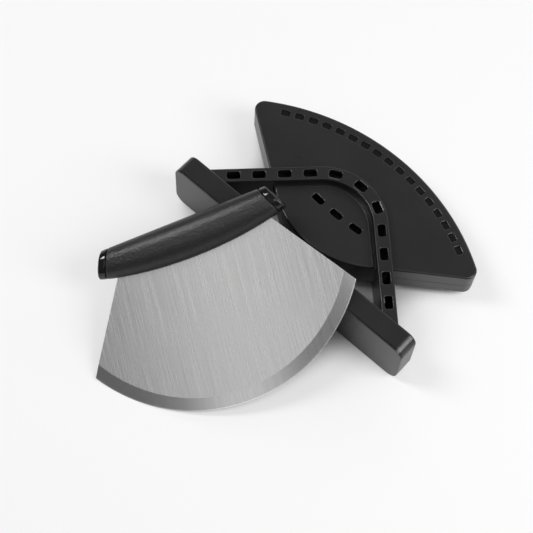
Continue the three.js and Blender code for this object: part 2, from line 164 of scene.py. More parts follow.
soft_boxes = [
    # name, place, aim, roll in degrees, width, height, watts
    ("box_front", (0.12, -1.62, 2.60), (-0.06, -0.07, 0.05), 45, 0.48, 1.5, 2.45),
    ("box_left", (-0.70, -0.26, 1.06), (-0.08, -0.02, 0.05), 0, 0.30, 0.6, 8.2),
    ("box_right", (0.75, 0.32, 0.77), (0, 0, 0), 0, 0.42, 0.8, 8.0),
    ("box_back", (-0.18, 0.98, 0.66), (0, 0, 0), 0, 1.6, 0.34, 3.4),
    ("box_fill", (0.29, -0.17, 0.94), (0, 0, 0), 0, 0.3, 0.3, 0.42),
]
for name, place, aim, roll, width, height, watts in soft_boxes:
    lamp = bpy.data.lights.new(name, "AREA")
    lamp.shape = "RECTANGLE"
    lamp.size = width
    lamp.size_y = height
    lamp.energy = watts
    box = bpy.data.objects.new(name, lamp)
    box.location = place
    facing = (Vector(aim) - Vector(place)).to_track_quat("-Z", "Y")
    box.rotation_euler = (facing @ Quaternion((0, 0, 1), math.radians(roll))).to_euler()
    bpy.context.scene.collection.objects.link(box)


# Foot: the holder's long hollow bar, moulded in black ABS with rounded corners and open
# below. The rest of the holder stands on its upper wall. All of it is modelled flat on its
# back, with Y towards the top, and then tipped by the few degrees at which it lies.
holder_rest = Vector((0, 8.6890208, 20.7473634)) * mm
holder_tip = math.radians(-2.9578034626)
holder_place = Matrix.Translation(holder_rest) @ Matrix.Rotation(holder_tip, 4, "X")
foot_half = 94.8 * mm
foot_low = 1.3 * mm
foot_top = 15 * mm
foot_deep = 20 * mm
foot_corner = 7 * mm
foot_wall = 2.5 * mm
foot_round = 1.2 * mm
screw_across = 71.0 * mm
screw_spread = 8 * mm
screw_bore = 1.7 * mm
hair = 0.01 * mm
straight_on = 0.99
crease = math.radians(32)
y_axis = 1
z_axis = 2


def new_finish(name):
    """A new material, with its node tree, its shader and its Object coordinates."""
    made = bpy.data.materials.new(name)
    made.use_nodes = True
    tree = made.node_tree
    place = add(tree, "ShaderNodeTexCoord")
    return made, tree, tree.nodes["Principled BSDF"], place.outputs["Object"]


# Satin ABS from a lightly textured mould: a soft grey sheen, never quite even, over black.
# The mould's texture, about 0.2 mm, is drawn at 1.4 mm, because finer would not show.
abs_black, tree, shader, place = new_finish("moulded_black_abs")
fine = add(tree, "ShaderNodeTexNoise", {
    "Vector": place, "Scale": 1 / (1.4 * mm), "Detail": 3, "Roughness": 0.6})
broad = add(tree, "ShaderNodeTexNoise", {
    "Vector": place, "Scale": 1 / (35 * mm), "Detail": 2, "Roughness": 0.5})
tone = add(tree, "ShaderNodeMapRange", {
    "Value": broad.outputs["Fac"],
    "From Min": 0.3, "From Max": 0.7, "To Min": 0, "To Max": 1})
hue = add(tree, "ShaderNodeMix", {
    "Factor": tone.outputs["Result"],
    "A": linear("#171717"), "B": linear("#1d1d1d")}, data_type="RGBA")
satin = add(tree, "ShaderNodeMapRange", {
    "Value": fine.outputs["Fac"],
    "From Min": 0.25, "From Max": 0.75, "To Min": 0.27, "To Max": 0.35})
relief = add(tree, "ShaderNodeBump", {
    "Height": fine.outputs["Fac"], "Strength": 0.10, "Distance": 0.05 * mm})
tree.links.new(hue.outputs["Result"], shader.inputs["Base Color"])
tree.links.new(satin.outputs["Result"], shader.inputs["Roughness"])
tree.links.new(relief.outputs["Normal"], shader.inputs["Normal"])
shader.inputs["IOR"].default_value = 1.53


def only(piece):
    """Selects one object and nothing else."""
    bpy.ops.object.select_all(action="DESELECT")
    piece.select_set(True)
    bpy.context.view_layer.objects.active = piece


def choose(kind, test):
    """In edit mode, selects the points, edges or faces that pass a test, and nothing else."""
    bpy.ops.mesh.select_mode(type=kind)
    bpy.ops.mesh.select_all(action="DESELECT")
    mesh = bmesh.from_edit_mesh(bpy.context.object.data)
    for element in {"VERT": mesh.verts, "EDGE": mesh.edges, "FACE": mesh.faces}[kind]:
        if test(element):
            element.select_set(True)
    bmesh.update_edit_mesh(bpy.context.object.data)


def round_edges(test, radius, segments):
    """Rounds the edges of the active object that pass a test."""
    bpy.ops.object.mode_set(mode="EDIT")
    choose("EDGE", test)
    bpy.ops.mesh.bevel(offset=radius, segments=segments, affect="EDGES", clamp_overlap=False)
    bpy.ops.object.mode_set(mode="OBJECT")


def modify(piece, kind, **settings):
    """Adds one modifier to a piece and applies it."""
    only(piece)
    modifier = piece.modifiers.new(kind.lower(), kind)
    for name, value in settings.items():
        setattr(modifier, name, value)
    bpy.ops.object.modifier_apply(modifier=modifier.name)


def cut(piece, tool, operation="DIFFERENCE"):
    """Takes one solid away from another, or joins or trims it, and throws the tool away."""
    finish = "TRANSFER" if tool.data.materials else "INDEX"
    modify(piece, "BOOLEAN", object=tool, operation=operation, solver="EXACT", material_mode=finish)
    bpy.data.objects.remove(tool)


def block(name, low, high, corner, along):
    """A block between two corners, with its four edges along one axis rounded."""
    bpy.ops.object.select_all(action="DESELECT")
    bpy.ops.mesh.primitive_cube_add(size=1)
    made = bpy.context.object
    made.name = name
    made.location = (Vector(low) + Vector(high)) / 2
    made.scale = Vector(high) - Vector(low)
    bpy.ops.object.transform_apply()
    round_edges(lambda e: abs(e.verts[0].co[along] - e.verts[1].co[along]) > hair, corner, segments=8)
    return made


def rod(name, radius, low, high, along):
    """A round bar between two points of one axis, as a tool for drilling."""
    bpy.ops.object.select_all(action="DESELECT")
    bpy.ops.mesh.primitive_cylinder_add(
        vertices=32,
        radius=radius,
        depth=(Vector(high) - Vector(low)).length,
        location=(Vector(low) + Vector(high)) / 2,
        rotation={y_axis: (math.pi / 2, 0, 0), z_axis: (0, 0, 0)}[along],
    )
    bpy.context.object.name = name
    return bpy.context.object


def put(piece, place, body, finish, slot, *nodes):
    """Sets a modelled piece down in its place, smooths it, and gives it its finish and its body."""
    only(piece)
    piece.matrix_world = place
    bpy.ops.object.transform_apply()
    bpy.ops.object.shade_smooth_by_angle(angle=crease)
    modify(piece, "WEIGHTED_NORMAL", mode="FACE_AREA", keep_sharp=True)
    if not piece.data.materials:
        piece.data.materials.append(finish)
    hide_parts(*nodes)
    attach(piece, body)


foot_bar = block("foot_bar", (-foot_half, foot_low, -foot_deep), (foot_half, foot_top, foot_deep),
                 foot_corner, y_axis)
round_edges(lambda e: min(v.co.y for v in e.verts) > foot_top - hair, foot_round, segments=5)
cut(foot_bar, block(
    "foot_hollow",
    (-foot_half + foot_wall, 0, -foot_deep + foot_wall),
    (foot_half - foot_wall, foot_top - foot_wall, foot_deep - foot_wall),
    foot_corner - foot_wall, y_axis))
for across in (-screw_across, screw_across):
    for spread in (-screw_spread, screw_spread):
        cut(foot_bar, rod("bore", screw_bore, (across, foot_low, spread),
                          (across, foot_top + foot_wall, spread), y_axis))
put(foot_bar, holder_place, "holder", abs_black, "holder_plastic", "foot_body")


# Base plate: a thin moulded cover that closes the foot from below and meets its walls in
# one fine joint line. A low rib behind it keys it into the hollow, where it is glued.
plate_thick = 1.0 * mm
plate_round = 0.4 * mm
rib_gap = 2.8 * mm
rib_thick = 1.6 * mm
rib_rise = 3.0 * mm
foot_plate = block("foot_plate", (-foot_half, 0, -foot_deep), (foot_half, plate_thick, foot_deep),
                   foot_corner, y_axis)
round_edges(lambda e: max(v.co.y for v in e.verts) < hair, plate_round, segments=4)
bpy.ops.object.mode_set(mode="EDIT")
choose("FACE", lambda f: f.normal.y > straight_on)
bpy.ops.mesh.inset(thickness=rib_gap, use_even_offset=True)
bpy.ops.mesh.extrude_region_move(TRANSFORM_OT_translate={"value": (0, rib_rise, 0)})
bpy.ops.mesh.inset(thickness=rib_thick, use_even_offset=True)
bpy.ops.mesh.extrude_region_move(TRANSFORM_OT_translate={"value": (0, -rib_rise, 0)})
bpy.ops.object.mode_set(mode="OBJECT")
put(foot_plate, holder_place, "holder", abs_black, "holder_plastic", "foot_cover")


# Fan: the slice-shaped pocket that keeps the blade, two half shells of the same black ABS
# glued along the middle, open along the bowed rim. Both have vents and a shallow channel, with
# a low bead beside it, in which the arch lies. The front one has a row of shallow grip marks.
fan_tip = 21.7 * mm
fan_tip_radius = 64.6 * mm
fan_top = 109.2 * mm
fan_rim_radius = 159.8 * mm
fan_side = math.radians(35.65)
fan_corner = 6.5 * mm
fan_half = 11 * mm
fan_back_round = 1.8 * mm
fan_front_round = 1.3 * mm
shell_wall = 2.5 * mm
half_joint = 0.15 * mm
mouth_half = 2.6 * mm
mouth_corner = 0.3 * mm
seat_deep = 1.2 * mm
seat_inward = 1.7 * mm
seat_outward = 0.3 * mm
bed_deep = 0.05 * mm
bead_near = 1.75 * mm
bead_far = 2.75 * mm
bead_root = 1 * mm
bead_rise = 0.5 * mm
bead_inset = 0.5 * mm
bead_round = 0.35 * mm
vent_length = 9 * mm
vent_width = 4.7 * mm
vent_corner = 1.6 * mm
vent_rise = 27.8 * mm
vent_bow = 212 * mm
vent_pitch = 15.75 * mm
mark_length = 6 * mm
mark_width = 4.2 * mm
mark_corner = 1 * mm
mark_deep = 1 * mm
mark_inset = 7 * mm
mark_pitch = 9.6 * mm
marks_each_side = 8
slot_flare = 0.3 * mm
slot_slope = 1.7
beyond = 5 * mm
arch_apex = 73.1 * mm
arch_radius = 36.7 * mm
arch_half = 4.8 * mm
arch_leg = 70 * mm
corner_angle = 1

# The skin inside slots, vents and marks, in the arch's hollow and under the arch: deep dull
# black, a little uneven over 2 mm, partly the unpolished skin of the moulding and partly painted
# shade where these recesses lie in shadow.
matt_skin_and_shade, tree, shader, place = new_finish("matt_black_abs_and_painted_shade")
patch = add(tree, "ShaderNodeTexNoise", {
    "Vector": place, "Scale": 1 / (2 * mm), "Detail": 3, "Roughness": 0.6})
black = add(tree, "ShaderNodeMix", {
    "Factor": patch.outputs["Fac"],
    "A": linear("#101010"), "B": linear("#1c1c1c")}, data_type="RGBA")
tree.links.new(black.outputs["Result"], shader.inputs["Base Color"])
shader.inputs["Roughness"].default_value = 0.85
shader.inputs["Specular IOR Level"].default_value = 0.05


def draw(start):
    """Begins a line drawing at one point, in edit mode."""
    bpy.ops.object.select_all(action="DESELECT")
    bpy.ops.mesh.primitive_plane_add(size=mm, location=start)
    bpy.ops.object.transform_apply()
    bpy.ops.object.mode_set(mode="EDIT")
    bpy.ops.mesh.select_mode(type="VERT")
    bpy.ops.mesh.select_all(action="SELECT")
    bpy.ops.mesh.merge(type="CENTER")
    return bpy.context.object


def run(step):
    """Draws on from the selected end, straight, by a step."""
    bpy.ops.mesh.extrude_region_move(TRANSFORM_OT_translate={"value": step})


def bend(centre, angle, steps):
    """Draws on from the selected end, along an arc that turns left for a positive angle."""
    bpy.ops.mesh.spin(steps=steps, angle=-angle, center=centre, axis=(0, 0, 1))


def deepen(step):
    """Gives a flat drawing its depth, and turns its faces outwards."""
    bpy.ops.mesh.select_all(action="SELECT")
    bpy.ops.mesh.extrude_region_move(TRANSFORM_OT_translate={"value": (0, 0, step)})
    bpy.ops.mesh.select_all(action="SELECT")
    bpy.ops.mesh.remove_doubles(threshold=0.1 * hair)
    bpy.ops.mesh.normals_make_consistent(inside=False)
    bpy.ops.object.mode_set(mode="OBJECT")


def slice_block(name, inset, low, high):
    """A block with the fan's outline, pulled in by an inset: tip, side, corner and rim of its
    right half are drawn in one line, mirrored, filled and given depth."""
    tip = Vector((0, fan_tip + fan_tip_radius, low))
    rim = Vector((0, fan_top - fan_rim_radius, low))
    side = Vector((math.cos(fan_side), math.sin(fan_side), 0))
    out = Vector((side.y, -side.x, 0))
    # the corner's centre is as far from the side as from the rim
    start = tip + out * (fan_tip_radius - fan_corner)
    along = (start - rim).dot(side)
    reach = (fan_rim_radius - fan_corner) ** 2 - (start - rim).length_squared + along ** 2
    side_run = math.sqrt(reach) - along
    corner = start + side * side_run
    rim_angle = math.atan2(corner.y - rim.y, corner.x)
    made = draw((0, fan_tip + inset, low))
    made.name = name
    bend(tip, fan_side, steps=24)
    run(side * side_run)
    bend(corner, rim_angle - fan_side + math.pi / 2, steps=14)
    bend(rim, math.pi / 2 - rim_angle, steps=28)
    bpy.ops.object.mode_set(mode="OBJECT")
    modify(made, "MIRROR", use_axis=(True, False, False), merge_threshold=hair)
    bpy.ops.object.mode_set(mode="EDIT")
    bpy.ops.mesh.select_all(action="SELECT")
    bpy.ops.mesh.remove_doubles(threshold=hair)
    bpy.ops.mesh.edge_face_add()
    deepen(high - low)
    return made


def arch_block(name, inward, outward, bottom, low, high):
    """A block with the arch's outline: the end of one leg is drawn as an edge, which runs up
    that leg, round the bend and down the other leg, and gets its depth."""
    centre = Vector((0, arch_apex - arch_radius, low))
    up_right = Vector((math.sqrt(0.5), math.sqrt(0.5), 0))
    down_right = Vector((math.sqrt(0.5), -math.sqrt(0.5), 0))
    made = draw(centre + up_right * (arch_radius - inward) + down_right * arch_leg)
    made.name = name
    run(up_right * (inward + outward))
    bpy.ops.mesh.select_all(action="SELECT")
    run(-down_right * arch_leg)
    bend(centre, math.pi / 2, steps=48)
    run(-up_right * arch_leg)
    bpy.ops.mesh.select_all(action="SELECT")
    bpy.ops.mesh.remove_doubles(threshold=0.1 * hair)
    bpy.ops.mesh.bisect(plane_co=(0, bottom, 0), plane_no=(0, 1, 0), clear_inner=True)
    deepen(high - low)
    return made


def flared_slot(name, length, width, corner, low, high):
    """A tool for one slot: a rounded bar in the matt black with painted shade, whose top opens out for
    a glossy chamfered rim.
    """
    made = block(name, (-length / 2, -width / 2, low), (length / 2, width / 2, high - slot_flare),
                 corner, z_axis)
    bpy.ops.object.mode_set(mode="EDIT")
    choose("FACE", lambda f: f.normal.z > straight_on)
    wider = 4 * slot_flare * slot_slope
    flare = (1 + wider / length, 1 + wider / width, 1)
    bpy.ops.mesh.extrude_region_move(TRANSFORM_OT_translate={"value": (0, 0, 2 * slot_flare)})
    bpy.ops.transform.resize(value=flare, center_override=(0, 0, high))
    # Sides and floor get the matt black with painted shade; the flared rim stays glossy ABS.
    made.data.materials.append(matt_skin_and_shade)
    made.data.materials.append(abs_black)
    choose("FACE", lambda f: max(v.co.z for v in f.verts) > high)
    made.active_material_index = 1
    bpy.ops.object.material_slot_assign()
    bpy.ops.object.mode_set(mode="OBJECT")
    return made


def twin(piece, name):
    """A copy of a piece, with its own mesh."""
    copy = piece.copy()
    copy.data = piece.data.copy()
    copy.name = name
    bpy.context.scene.collection.objects.link(copy)
    return copy


def flip(piece, scale):
    """Turns a piece into its mirror image, with its faces outwards again."""
    only(piece)
    piece.scale = scale
    bpy.ops.object.transform_apply()
    bpy.ops.object.mode_set(mode="EDIT")
    bpy.ops.mesh.select_all(action="SELECT")
    bpy.ops.mesh.normals_make_consistent(inside=False)
    bpy.ops.object.mode_set(mode="OBJECT")


def spread_out(tool, places):
    """Copies one tool to many places, given as across, up and turn, and joins the copies."""
    copies = []
    for across, up, turn in places:
        copy = twin(tool, tool.name)
        copy.matrix_world = Matrix.Translation((across, up, 0)) @ Matrix.Rotation(turn, 4, "Z")
        copies.append(copy)
    bpy.data.objects.remove(tool)
    only(copies[0])
    for copy in copies:
        copy.select_set(True)
    bpy.ops.object.join()
    return copies[0]


def half_shell(name, face_round):
    """One half of the pocket, with its rounded face edge, hollow, mouth, arch channel and vents."""
    shell = slice_block(name, 0, half_joint, fan_half)
    shell.data.materials.append(abs_black)
    round_edges(lambda e: min(v.co.z for v in e.verts) > fan_half - hair, face_round, segments=5)
    hollow = slice_block("hollow", shell_wall, -beyond, fan_half - shell_wall)
    mouth_side = max(v.co.x for v in hollow.data.vertices)
    mouth_low = max(v.co.y for v in hollow.data.vertices if v.co.x > mouth_side - hair)
    cut(shell, hollow)
    cut(shell, block("mouth", (-mouth_side, mouth_low, -beyond),
                     (mouth_side, fan_top + beyond, mouth_half), mouth_corner, y_axis))
    cut(shell, arch_block("channel", arch_half + seat_inward, arch_half + seat_outward, foot_top,
                          fan_half - seat_deep, fan_half + beyond))
    # The bed lays the matt black with painted shade on the floor of the channel under the arch.
    bed = arch_block("bed", arch_half, arch_half, foot_top,
                     fan_half - seat_deep - bed_deep, fan_half + beyond)
    bed.data.materials.append(matt_skin_and_shade)
    cut(shell, bed)
    bead = arch_block("bead", arch_half + bead_far, -arch_half - bead_near, foot_top,
                      fan_half - bead_root, fan_half + bead_rise)
    cut(bead, slice_block("bead_room", bead_inset, -beyond, fan_half + beyond), "INTERSECT")
    round_edges(lambda e: min(v.co.z for v in e.verts) > fan_half + bead_rise - hair
                and e.calc_face_angle(0) > corner_angle, bead_round, segments=4)
    cut(shell, bead, "UNION")
    vent = flared_slot("vent", vent_length, vent_width, vent_corner, 0, fan_half)
    turns = [i * vent_pitch / vent_bow for i in (-1, 0, 1)]
    up = fan_tip + vent_rise + vent_bow
    cut(shell, spread_out(vent, [
        (vent_bow * math.sin(t), up - vent_bow * math.cos(t), t) for t in turns]))
    return shell


pocket_back = half_shell("pocket_back", fan_back_round)
flip(pocket_back, (1, 1, -1))
put(pocket_back, holder_place, "holder", abs_black, "holder_plastic", "fan_back")

pocket_front = half_shell("pocket_front", fan_front_round)
mark = flared_slot("mark", mark_length, mark_width, mark_corner, fan_half - mark_deep, fan_half)
row = fan_rim_radius - mark_inset
row_low = fan_top - fan_rim_radius
turns = [i * mark_pitch / row for i in range(-marks_each_side, marks_each_side + 1)]
cut(pocket_front, spread_out(mark, [
    (row * math.sin(t), row_low + row * math.cos(t), -t) for t in turns]))
put(pocket_front, holder_place, "holder", abs_black, "holder_plastic", "fan_front")


# Arch: a slotted strip of the same ABS, bent over the foot and hollow behind, in a front
# and a back half. It carries the fan between its halves and is screwed to the foot.
arch_front = 16.75 * mm
arch_wall = 1.8 * mm
arch_skin = 2.5 * mm
arch_round = 0.7 * mm
arch_gap = 0.3 * mm
arch_leg_floor = 4 * mm
arch_low = foot_top + arch_gap
slot_length = 8.8 * mm
slot_width = 5.4 * mm
slot_corner = 1.6 * mm
slot_first = 18.3 * mm
slot_pitch = 16.5 * mm
slot_pairs = 5
screw_reach = 3.2 * mm
arch_front_half = arch_block("arch_front_half", arch_half, arch_half, arch_low, half_joint, arch_front)
round_edges(lambda e: min(v.co.z for v in e.verts) > arch_front - hair
            and e.calc_face_angle(0) > corner_angle, arch_round, segments=4)
arch_front_half.data.materials.append(abs_black)
hollow = arch_block("hollow", arch_half - arch_wall, arch_half - arch_wall,
                    arch_low + arch_leg_floor, -beyond, arch_front - arch_skin)
# The hollow's inside gets the matt black with painted shade.
hollow.data.materials.append(matt_skin_and_shade)
cut(arch_front_half, hollow)
cut(arch_front_half, slice_block("fan_room", -arch_gap, -beyond, fan_half - seat_deep + arch_gap))
slot = flared_slot("slot", slot_length, slot_width, slot_corner, arch_front - 2 * arch_skin, arch_front)
slot_places = [(0, arch_apex, 0)]
bend_length = arch_radius * math.pi / 4
for i in range(slot_pairs):
    distance = slot_first + i * slot_pitch
    turn = min(distance, bend_length) / arch_radius
    leg = max(distance - bend_length, 0) * math.sqrt(0.5)
    across = arch_radius * math.sin(turn) + leg
    up = arch_apex - arch_radius * (1 - math.cos(turn)) - leg
    slot_places += [(across, up, -turn), (-across, up, turn)]
cut(arch_front_half, spread_out(slot, slot_places))
for across in (-screw_across, screw_across):
    cut(arch_front_half, rod("bore", screw_bore, (across, foot_top - foot_wall, screw_spread),
                             (across, arch_low + screw_reach, screw_spread), y_axis))
arch_back_half = twin(arch_front_half, "arch_back_half")
flip(arch_back_half, (1, 1, -1))
put(arch_front_half, holder_place, "holder", abs_black, "holder_plastic", "arch_front")
put(arch_back_half, holder_place, "holder", abs_black, "holder_plastic", "arch_back")


# Leg screws: four small steel screws that come up through the foot into the arch's legs,
# out of sight under the base plate.
def dress(finish, *names):
    """Gives CAD nodes that stay as they are their finish."""
    for name in names:
        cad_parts[name].data.materials.clear()
        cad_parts[name].data.materials.append(finish)


# Bright zinc plating: pale grey metal with cloudy patches a few tenths of a millimetre wide,
# drawn at 0.8 mm, because finer would not show.
screw_steel, tree, shader, place = new_finish("zinc_plated_steel")
cloud = add(tree, "ShaderNodeTexNoise", {
    "Vector": place, "Scale": 1 / (0.8 * mm), "Detail": 2, "Roughness": 0.5})
dull = add(tree, "ShaderNodeMapRange", {
    "Value": cloud.outputs["Fac"],
    "From Min": 0.3, "From Max": 0.7, "To Min": 0.28, "To Max": 0.42})
tree.links.new(dull.outputs["Result"], shader.inputs["Roughness"])
shader.inputs["Base Color"].default_value = linear("#c3c6ca")
shader.inputs["Metallic"].default_value = 1
dress(screw_steel, "leg_screw_front_left", "leg_screw_front_right",
      "leg_screw_back_left", "leg_screw_back_right")


# Blade: a flat fan of brushed stainless steel, 1.5 mm thick, stamped out and ground on both
# sides to an edge along its arc. Its upper part, the tang, is hidden in the grip. It is
# modelled in the cutter's own axes and then turned to lean on the foot.
cutter_rest = Vector((-51.3046178, -20.7044044, 41.4103488)) * mm
cutter_roll = math.radians(7.113815384078879)
cutter_lean = math.radians(21.911842606298755)
cutter_turn = math.radians(62.4)
cutter_place = (
    Matrix.Translation(cutter_rest)
    @ Matrix.Rotation(cutter_roll, 4, "Y")
    @ Matrix.Rotation(cutter_lean, 4, "X")
    @ Matrix.Rotation(cutter_turn, 4, "Z")
)
blade_radius = 105.7 * mm
blade_thick = 1.5 * mm
blade_edge = 0.3 * mm
blade_edge_round = 0.14 * mm
blade_bevel = 8.2 * mm
blade_corner_drop = 58.5 * mm
blade_shoulder = Vector((52.4, -4.6, 0)) * mm
blade_corner = Vector((
    math.sqrt(blade_radius ** 2 - blade_corner_drop ** 2), -blade_corner_drop, 0))
blade_flat = blade_radius - blade_bevel
blade_crease = 0.05
tang_rise = 8 * mm
pin_across = 30 * mm
pin_up = 2.5 * mm
pin_bore = 2.7 * mm
scratch_width = 0.8 * mm
scratch_length = 60 * mm
scratch_lean = math.radians(-6)
bevel_polish = -0.07
bevel_blend = 0.2 * mm
bright_from = 0.8 * mm
bright_full = 0.5 * mm

# Stainless steel drawn under an abrasive belt: fine scratches about 60 mm long, 6 degrees off
# the blade's axis, that blur its reflections. They are 0.1 mm wide, drawn at 0.8 mm to show.
# The ground bevel is smoother and painted a little darker, a painted shade, and its last half
# millimetre is painted bright, a painted highlight along the edge.
brushed, tree, shader, place = new_finish("brushed_stainless_steel")
local = add(tree, "ShaderNodeMapping", {
    "Vector": place,
    "Location": cutter_place.to_translation(),
    "Rotation": cutter_place.to_euler("XYZ")}, vector_type="TEXTURE")
stretch = add(tree, "ShaderNodeMapping", {
    "Vector": local.outputs["Vector"],
    "Rotation": (0, 0, scratch_lean),
    "Scale": (scratch_width, scratch_length, scratch_length)}, vector_type="TEXTURE")
scratch = add(tree, "ShaderNodeTexNoise", {
    "Vector": stretch.outputs["Vector"], "Scale": 1, "Detail": 3, "Roughness": 0.6})
reach = add(tree, "ShaderNodeVectorMath", {0: local.outputs["Vector"]}, operation="LENGTH")
ground = add(tree, "ShaderNodeMapRange", {
    "Value": reach.outputs["Value"],
    "From Min": blade_flat - bevel_blend, "From Max": blade_flat + bevel_blend})
# The last half millimetre of the edge is painted bright: a painted highlight.
painted_edge_highlight = add(tree, "ShaderNodeMapRange", {
    "Value": reach.outputs["Value"],
    "From Min": blade_radius - bright_from, "From Max": blade_radius - bright_full})
streak = add(tree, "ShaderNodeMapRange", {
    "Value": scratch.outputs["Fac"], "From Min": 0.3, "From Max": 0.7})
flat_hue = add(tree, "ShaderNodeMix", {
    "Factor": streak.outputs["Result"],
    "A": linear("#bcbcbc"), "B": linear("#d8d8d8")}, data_type="RGBA")
# The ground bevel is painted a little darker: painted shade.
bevel_hue = add(tree, "ShaderNodeMix", {
    "Factor": ground.outputs["Result"],
    "A": flat_hue.outputs["Result"], "B": linear("#bcbcbc")}, data_type="RGBA")
edge_hue = add(tree, "ShaderNodeMix", {
    "Factor": painted_edge_highlight.outputs["Result"],
    "A": bevel_hue.outputs["Result"], "B": linear("#e8e8e8")}, data_type="RGBA")
blur = add(tree, "ShaderNodeMapRange", {
    "Value": scratch.outputs["Fac"],
    "From Min": 0.3, "From Max": 0.7, "To Min": 0.23, "To Max": 0.29})
polish = add(tree, "ShaderNodeMath", {
    0: ground.outputs["Result"], 1: bevel_polish, 2: blur.outputs["Result"]},
    operation="MULTIPLY_ADD")
groove = add(tree, "ShaderNodeBump", {
    "Height": scratch.outputs["Fac"], "Strength": 0.05, "Distance": 0.015 * mm})
tree.links.new(edge_hue.outputs["Result"], shader.inputs["Base Color"])
tree.links.new(polish.outputs[0], shader.inputs["Roughness"])
tree.links.new(groove.outputs["Normal"], shader.inputs["Normal"])
shader.inputs["Metallic"].default_value = 1

bpy.ops.object.select_all(action="DESELECT")
bpy.ops.mesh.primitive_cylinder_add(vertices=400, radius=blade_radius, depth=blade_thick)
blade_sheet = bpy.context.object
blade_sheet.name = "blade_sheet"
bpy.ops.object.mode_set(mode="EDIT")
choose("FACE", lambda f: abs(f.normal.z) > straight_on)
bpy.ops.mesh.inset(thickness=blade_bevel, use_even_offset=True, use_boundary=True)
choose("VERT", lambda v: v.co.xy.length > blade_radius - blade_bevel / 2)
bpy.ops.transform.resize(value=(1, 1, blade_edge / blade_thick), center_override=(0, 0, 0))
choose("EDGE", lambda e: min(v.co.xy.length for v in e.verts) > blade_radius - blade_bevel / 2
       and abs(e.verts[0].co.z - e.verts[1].co.z) < hair)
bpy.ops.mesh.bevel(offset=blade_edge_round, segments=3, affect="EDGES", clamp_overlap=False)
choose("EDGE", lambda e: e.calc_face_angle(0) > blade_crease)
bpy.ops.mesh.mark_sharp()
for side in (-1, 1):
    low = Vector((side * blade_corner.x, blade_corner.y, 0))
    high = Vector((side * blade_shoulder.x, blade_shoulder.y, 0))
    across = (low - high).cross(Vector((0, 0, side))).normalized()
    bpy.ops.mesh.select_all(action="SELECT")
    bpy.ops.mesh.bisect(plane_co=high, plane_no=-across, use_fill=True, clear_outer=True)
bpy.ops.mesh.select_all(action="SELECT")
bpy.ops.mesh.bisect(plane_co=(0, tang_rise, 0), plane_no=(0, 1, 0), use_fill=True, clear_outer=True)
bpy.ops.object.mode_set(mode="OBJECT")
for across in (-pin_across, pin_across):
    cut(blade_sheet, rod("bore", pin_bore, (across, pin_up, -beyond),
                         (across, pin_up, beyond), z_axis))
put(blade_sheet, cutter_place, "cutter", brushed, "blade_steel", "blade")


# Core and pins: two hard plastic halves hold the tang between them, and two steel pins go
# through all three. The sleeve and the caps hide them.

# Plain glass-filled nylon straight from the mould: dull dark grey, slightly mottled at 3 mm.
core_plastic, tree, shader, place = new_finish("moulded_core_plastic")
mottle = add(tree, "ShaderNodeTexNoise", {
    "Vector": place, "Scale": 1 / (3 * mm), "Detail": 3, "Roughness": 0.6})
grey = add(tree, "ShaderNodeMix", {
    "Factor": mottle.outputs["Fac"],
    "A": linear("#232426"), "B": linear("#2f3133")}, data_type="RGBA")
tree.links.new(grey.outputs["Result"], shader.inputs["Base Color"])
shader.inputs["Roughness"].default_value = 0.62
dress(core_plastic, "grip_core_front", "grip_core_back")
dress(screw_steel, "tang_pin_left", "tang_pin_right")


# Grip sleeve: a soft-touch skin moulded over the core, flat on top and bowed below, thickest
# in the middle. Its underside is slit for the blade.
grip_top = 15.4 * mm
grip_belly_drop = 9.5 * mm
grip_belly_radius = 225 * mm
grip_half_top = 56.2 * mm
grip_slant = math.tan(math.radians(24.5))
grip_thick_middle = 22.3 * mm
grip_thick_end = 15.8 * mm
grip_half_length = 60.2487 * mm
grip_corner = 0.856
sleeve_thick = 2 * mm
sleeve_lip = 0.6 * mm
sleeve_steps = 16
room_reach = 1.02
room_steps = 8
slit_half_length = 52 * mm
slit_half = 1.05 * mm
slit_top = 8.3 * mm
slit_low = -30 * mm
slit_corner = 0.3 * mm
cap_length = 5.4 * mm
cap_gap = 0.3 * mm

# Soft elastomer moulded with a leather grain: black, satin, with pebbles about 1.5 mm wide,
# painted lighter on the pebbles and darker in the creases between them as painted light and shade.
skin, tree, shader, place = new_finish("soft_touch_grip_skin")
pebble = add(tree, "ShaderNodeTexVoronoi", {
    "Vector": place, "Scale": 1 / (1.5 * mm), "Randomness": 1.0}, feature="SMOOTH_F1")
grit = add(tree, "ShaderNodeTexNoise", {
    "Vector": place, "Scale": 1 / (0.9 * mm), "Detail": 3, "Roughness": 0.6})
height = add(tree, "ShaderNodeMath", {
    0: pebble.outputs["Distance"], 1: grit.outputs["Fac"]}, operation="ADD")
grain = add(tree, "ShaderNodeBump", {
    "Height": height.outputs[0], "Strength": 1.0, "Distance": 0.16 * mm})
# Painted light and shade on the grain: pebble centres lighter, the creases between them darker.
painted_grain_shade = add(tree, "ShaderNodeMix", {
    "Factor": pebble.outputs["Distance"],
    "A": linear("#202020"), "B": linear("#101010")}, data_type="RGBA")
sheen = add(tree, "ShaderNodeMapRange", {
    "Value": grit.outputs["Fac"],
    "From Min": 0.3, "From Max": 0.7, "To Min": 0.33, "To Max": 0.43})
tree.links.new(painted_grain_shade.outputs["Result"], shader.inputs["Base Color"])
tree.links.new(sheen.outputs["Result"], shader.inputs["Roughness"])
tree.links.new(grain.outputs["Normal"], shader.inputs["Normal"])


def grip_section(station, inset):
    """Middle, slant, half height and half thickness of the grip at a station from -1 to 1."""
    x = station * grip_half_length
    belly = -grip_belly_drop + grip_belly_radius - math.sqrt(grip_belly_radius ** 2 - x ** 2)
    middle = (grip_top + belly) / 2
    along = station * (grip_half_top + grip_slant * (grip_top - middle))
    high = grip_top - middle - inset
    swell = (grip_thick_middle - grip_thick_end) * (1 - station ** 2)
    thick = (grip_thick_end + swell) / 2 - inset
    return Vector((along, middle, 0)), math.atan(station * grip_slant), high, thick


